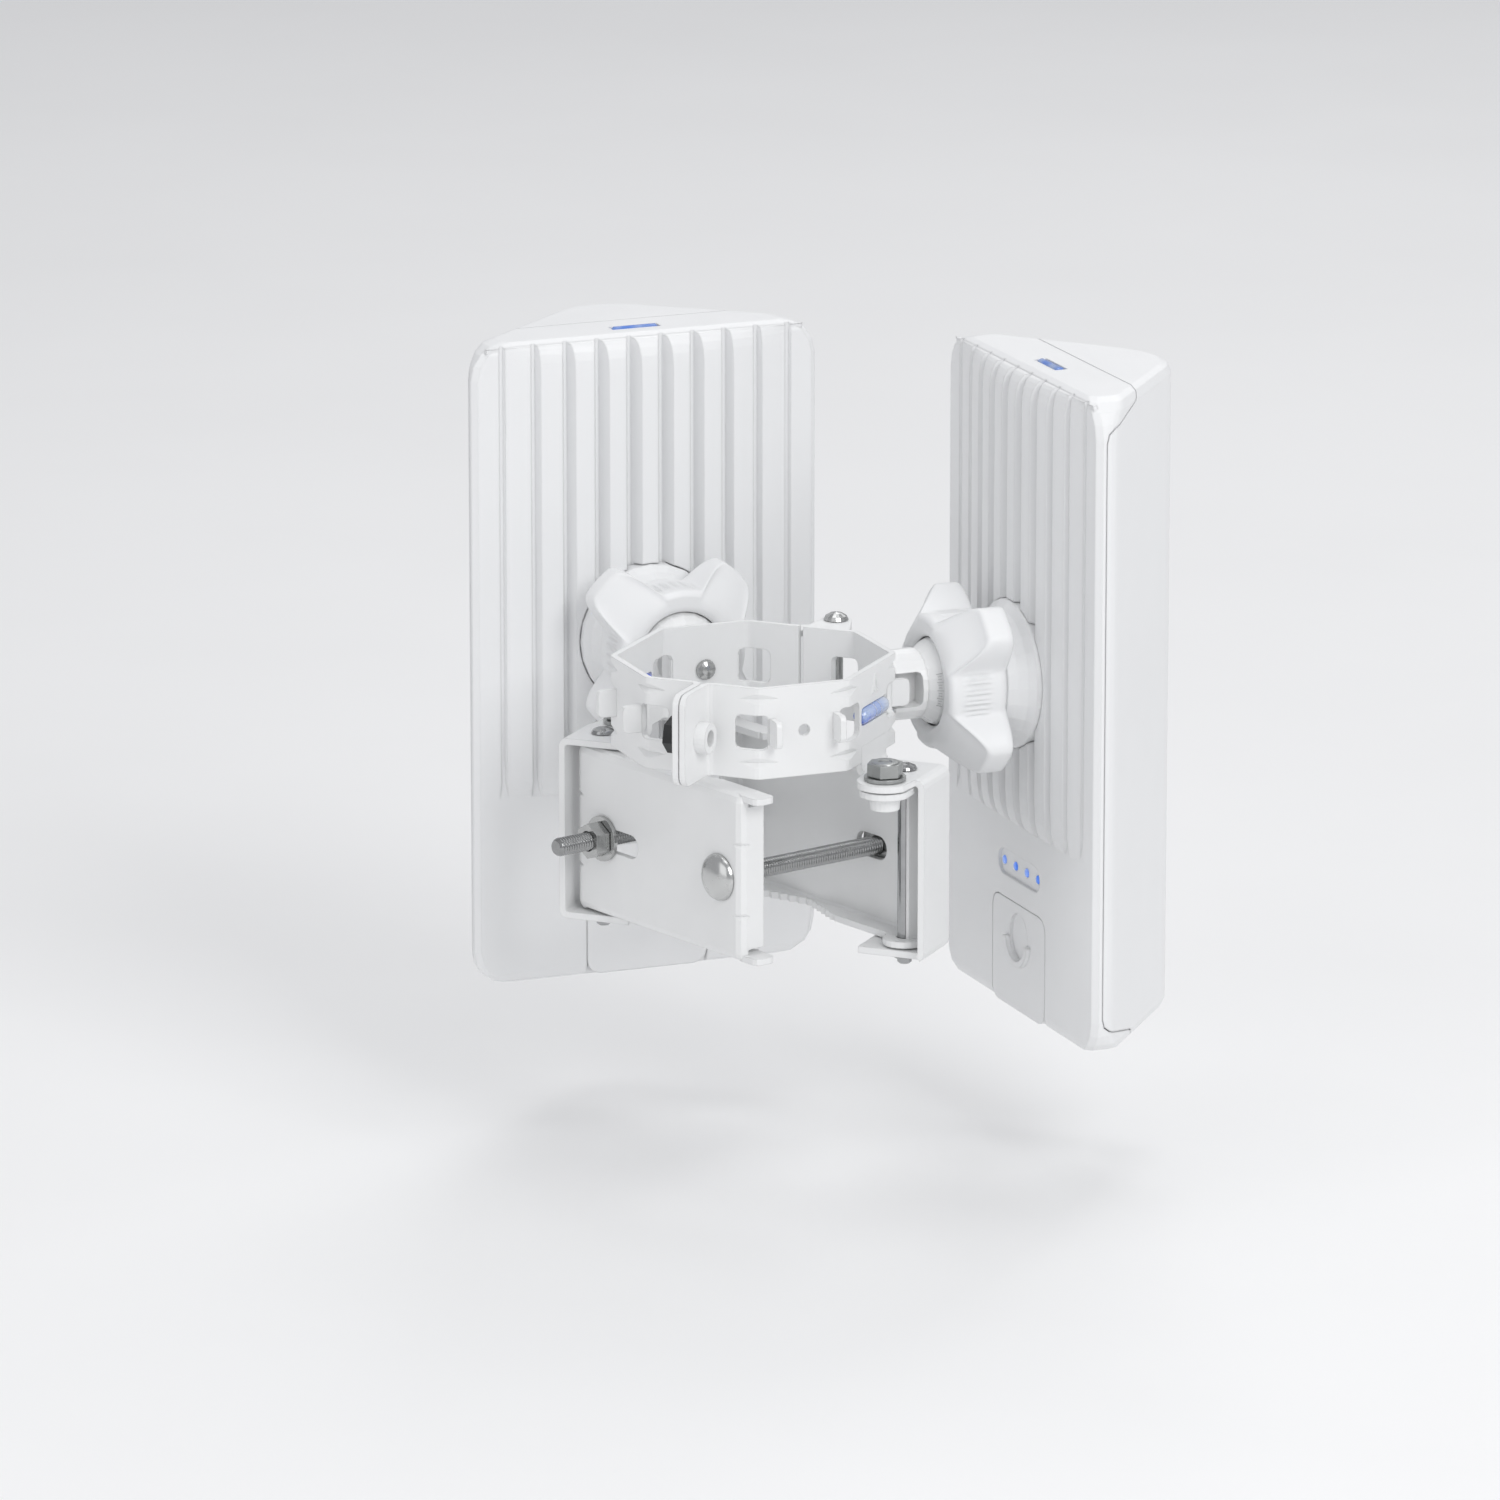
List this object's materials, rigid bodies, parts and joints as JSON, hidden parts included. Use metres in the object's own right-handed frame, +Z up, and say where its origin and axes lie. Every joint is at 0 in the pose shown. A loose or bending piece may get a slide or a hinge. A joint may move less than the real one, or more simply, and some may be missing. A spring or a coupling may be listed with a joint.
{
  "type": "outdoor wireless bridge",
  "caption": "Outdoor wireless bridge with flat-backed finned radios on lockable ball joints, carried by a hinged octagonal collar above a bolted pair of mast jaws.",
  "frame": {"origin": "the collar's axis at the height of the pivot ears' top faces", "axes": "+Z up along the collar's axis, +X along the right radio's aim, +Y along the left radio's aim"},
  "size_m": [0.2603, 0.2598, 0.2756],
  "materials": {
    "white_plastic": "fine-textured moulded UV-stable plastic",
    "white_coat": "white powder coat on steel sheet",
    "grey_coat": "light powder coat on a casting",
    "steel": "bright zinc-plated fasteners",
    "dark_steel": "black oxide",
    "black_plastic": "moulded",
    "blue_clear": "clear blue",
    "rubber": "moulded pale silicone",
    "board_green": "solder mask",
    "copper": "copper-clad laminate"
  },
  "bodies": {
    "mount": {"collar_right": "white_coat", "collar_left": "white_coat", "joint_bolt": "dark_steel", "joint_washer": "steel", "hinge_rivet": "steel", "level_vial_right": "blue_clear", "pivot_pin_right": "steel", "pivot_clip_right": "steel", "ball_arm_right": "grey_coat", "arm_screw_right": "steel", "level_vial_left": "blue_clear", "pivot_pin_left": "steel", "pivot_clip_left": "steel", "ball_arm_left": "grey_coat", "arm_screw_left": "steel"},
    "front_jaw": {"jaw_front": "white_coat", "clamp_bolt_a": "steel", "lock_bolt_left": "steel", "lock_washer_left": "steel"},
    "rear_jaw": {"jaw_rear": "white_coat", "clamp_bolt_b": "steel", "lock_bolt_right": "steel", "lock_washer_right": "steel"},
    "nut_a": {"clamp_nut_a": "steel", "clamp_washer_a": "steel"},
    "nut_b": {"clamp_nut_b": "steel", "clamp_washer_b": "steel"},
    "swivel_right": {"ball_ring_right": "black_plastic"},
    "radio_right": {"rear_shell_right": "white_plastic", "radome_right": "white_plastic", "seam_gasket_right": "rubber", "main_board_right": "board_green", "antenna_array_right": "copper", "ethernet_jack_right": "black_plastic", "light_guide_right": "blue_clear", "top_vial_right": "blue_clear", "ball_socket_right": "white_plastic"},
    "knob_right": {"lock_knob_right": "white_plastic"},
    "door_right": {"cable_door_right": "white_plastic"},
    "swivel_left": {"ball_ring_left": "black_plastic"},
    "radio_left": {"rear_shell_left": "white_plastic", "radome_left": "white_plastic", "seam_gasket_left": "rubber", "main_board_left": "board_green", "antenna_array_left": "copper", "ethernet_jack_left": "black_plastic", "light_guide_left": "blue_clear", "top_vial_left": "blue_clear", "ball_socket_left": "white_plastic"},
    "knob_left": {"lock_knob_left": "white_plastic"},
    "door_left": {"cable_door_left": "white_plastic"}
  },
  "joints": [
    {"name": "front_jaw_pivot", "type": "hinge", "parent": "mount", "child": "front_jaw", "pos_m": [-0.04632, 0.05028, -0.0385], "axis": [0, 0, 1], "range_deg": [-3, 3.5]},
    {"name": "rear_jaw_pivot", "type": "hinge", "parent": "mount", "child": "rear_jaw", "pos_m": [0.04632, -0.05028, -0.0385], "axis": [0, 0, 1], "range_deg": [-3, 3.5]},
    {"name": "nut_a_travel", "type": "slide", "parent": "front_jaw", "child": "nut_a", "axis": [-0.9613, -0.2756, 0], "range_m": [-0.0068, 0.0079]},
    {"name": "nut_b_travel", "type": "slide", "parent": "rear_jaw", "child": "nut_b", "axis": [0.9613, 0.2756, 0], "range_m": [-0.0068, 0.0079]},
    {"name": "pan_right", "type": "hinge", "parent": "mount", "child": "swivel_right", "pos_m": [0.087, 0, 0.0221], "axis": [0, 0, 1], "range_deg": [-12, 12]},
    {"name": "tilt_right", "type": "hinge", "parent": "swivel_right", "child": "radio_right", "pos_m": [0.087, 0, 0.0221], "axis": [0, 1, 0], "range_deg": [-11, 11]},
    {"name": "knob_turn_right", "type": "hinge", "parent": "radio_right", "child": "knob_right", "pos_m": [0.087, 0, 0.0221], "axis": [1, 0, 0], "range_deg": [-90, 0]},
    {"name": "door_travel_right", "type": "slide", "parent": "radio_right", "child": "door_right", "axis": [0, 0, -1], "range_m": [0, 0.03]},
    {"name": "pan_left", "type": "hinge", "parent": "mount", "child": "swivel_left", "pos_m": [0, 0.087, 0.0221], "axis": [0, 0, 1], "range_deg": [-12, 12]},
    {"name": "tilt_left", "type": "hinge", "parent": "swivel_left", "child": "radio_left", "pos_m": [0, 0.087, 0.0221], "axis": [-1, 0, 0], "range_deg": [-11, 11]},
    {"name": "knob_turn_left", "type": "hinge", "parent": "radio_left", "child": "knob_left", "pos_m": [0, 0.087, 0.0221], "axis": [0, 1, 0], "range_deg": [-90, 0]},
    {"name": "door_travel_left", "type": "slide", "parent": "radio_left", "child": "door_left", "axis": [0, 0, -1], "range_m": [0, 0.03]}
  ],
  "couplings": [
    {"joint": "rear_jaw_pivot", "follows": "front_jaw_pivot", "ratio": 1},
    {"joint": "nut_a_travel", "follows": "front_jaw_pivot", "m_per_rad": 0.1222},
    {"joint": "nut_b_travel", "follows": "front_jaw_pivot", "m_per_rad": 0.1222}
  ]
}
